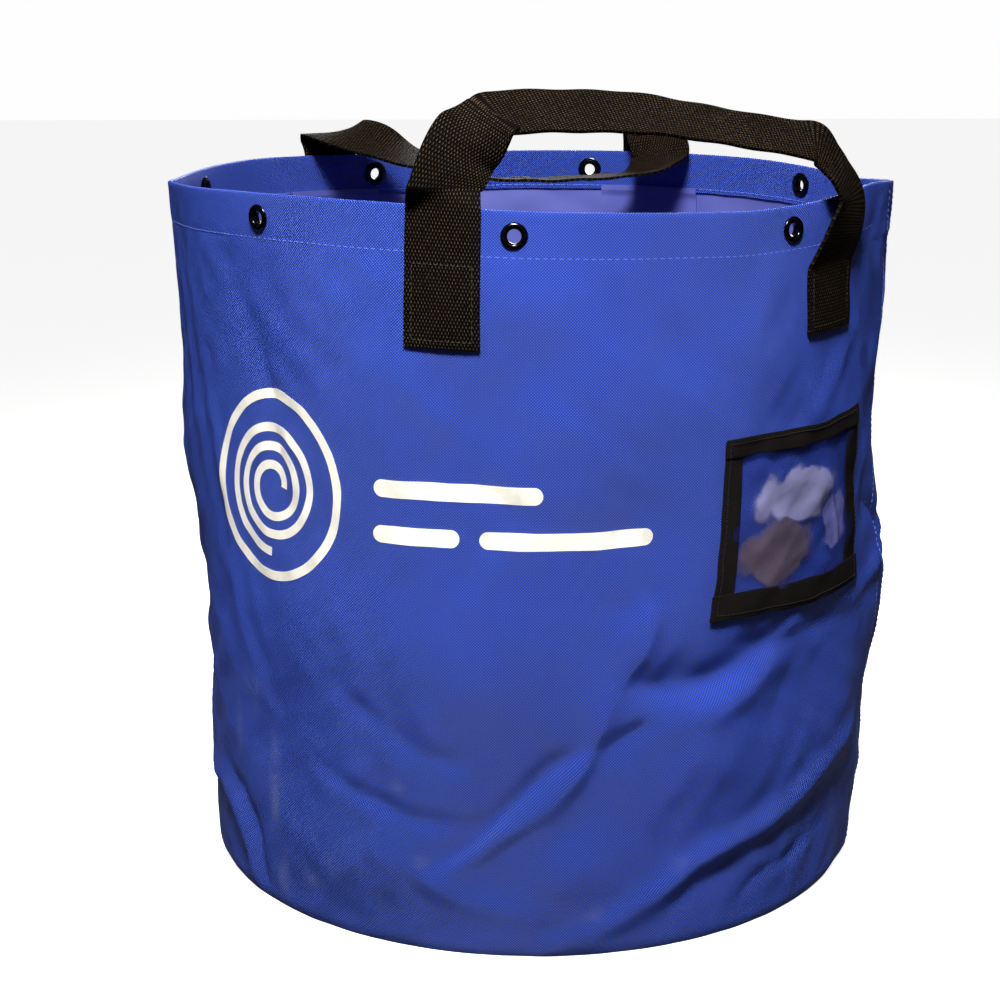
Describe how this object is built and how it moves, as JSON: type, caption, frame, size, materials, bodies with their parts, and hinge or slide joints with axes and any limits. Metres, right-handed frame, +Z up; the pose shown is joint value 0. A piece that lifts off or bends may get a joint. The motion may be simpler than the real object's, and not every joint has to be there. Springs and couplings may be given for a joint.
{
  "type": "rope storage bag",
  "caption": "Soft round tub of coated fabric for storing rope, open at the top, with two webbing carry handles, a hemmed rim with eyelets and a clear label pocket.",
  "frame": {"origin": "centre of the base's underside, on the surface the bag stands on", "axes": "+Z up through the mouth, -Y towards the printed front, +X towards the side seam"},
  "size_m": [0.4394, 0.42, 0.4798],
  "materials": {
    "coated_fabric": "royal blue vinyl-coated polyester, fine plain weave, satin",
    "fabric_back": "back of the coated fabric, smooth, greyish blue, satin",
    "black_webbing": "black polypropylene webbing, flat woven",
    "black_tape": "black woven binding tape, matt",
    "clear_vinyl": "clear flexible vinyl sheet, glossy, crumpled",
    "black_nickel": "black nickel plated brass, glossy"
  },
  "bodies": {
    "bag": {"wall_panel": "coated_fabric", "base_panel": "coated_fabric", "front_handle_left_tab": "black_webbing", "front_handle_right_tab": "black_webbing", "rear_handle_left_tab": "black_webbing", "rear_handle_right_tab": "black_webbing", "front_left_patch": "fabric_back", "front_right_patch": "fabric_back", "rear_left_patch": "fabric_back", "rear_right_patch": "fabric_back", "label_window": "clear_vinyl", "label_tape_left": "black_tape", "label_tape_right": "black_tape", "label_tape_top": "black_tape", "label_tape_bottom": "black_tape", "eyelet_1": "black_nickel", "eyelet_2": "black_nickel", "eyelet_3": "black_nickel", "eyelet_4": "black_nickel", "eyelet_5": "black_nickel", "eyelet_6": "black_nickel", "eyelet_7": "black_nickel", "eyelet_washer_1": "black_nickel", "eyelet_washer_2": "black_nickel", "eyelet_washer_3": "black_nickel", "eyelet_washer_4": "black_nickel", "eyelet_washer_5": "black_nickel", "eyelet_washer_6": "black_nickel", "eyelet_washer_7": "black_nickel"},
    "front_handle": {"front_handle_loop": "black_webbing"},
    "rear_handle": {"rear_handle_loop": "black_webbing"}
  },
  "joints": [
    {"name": "front_handle_swing", "type": "hinge", "parent": "bag", "child": "front_handle", "pos_m": [0.05078, -0.16359, 0.432], "axis": [0.9654, 0.2607, 0], "range_deg": [-105, 85]},
    {"name": "rear_handle_swing", "type": "hinge", "parent": "bag", "child": "rear_handle", "pos_m": [-0.02152, 0.16842, 0.432], "axis": [-0.9939, -0.1105, 0], "range_deg": [-20, 190]}
  ]
}
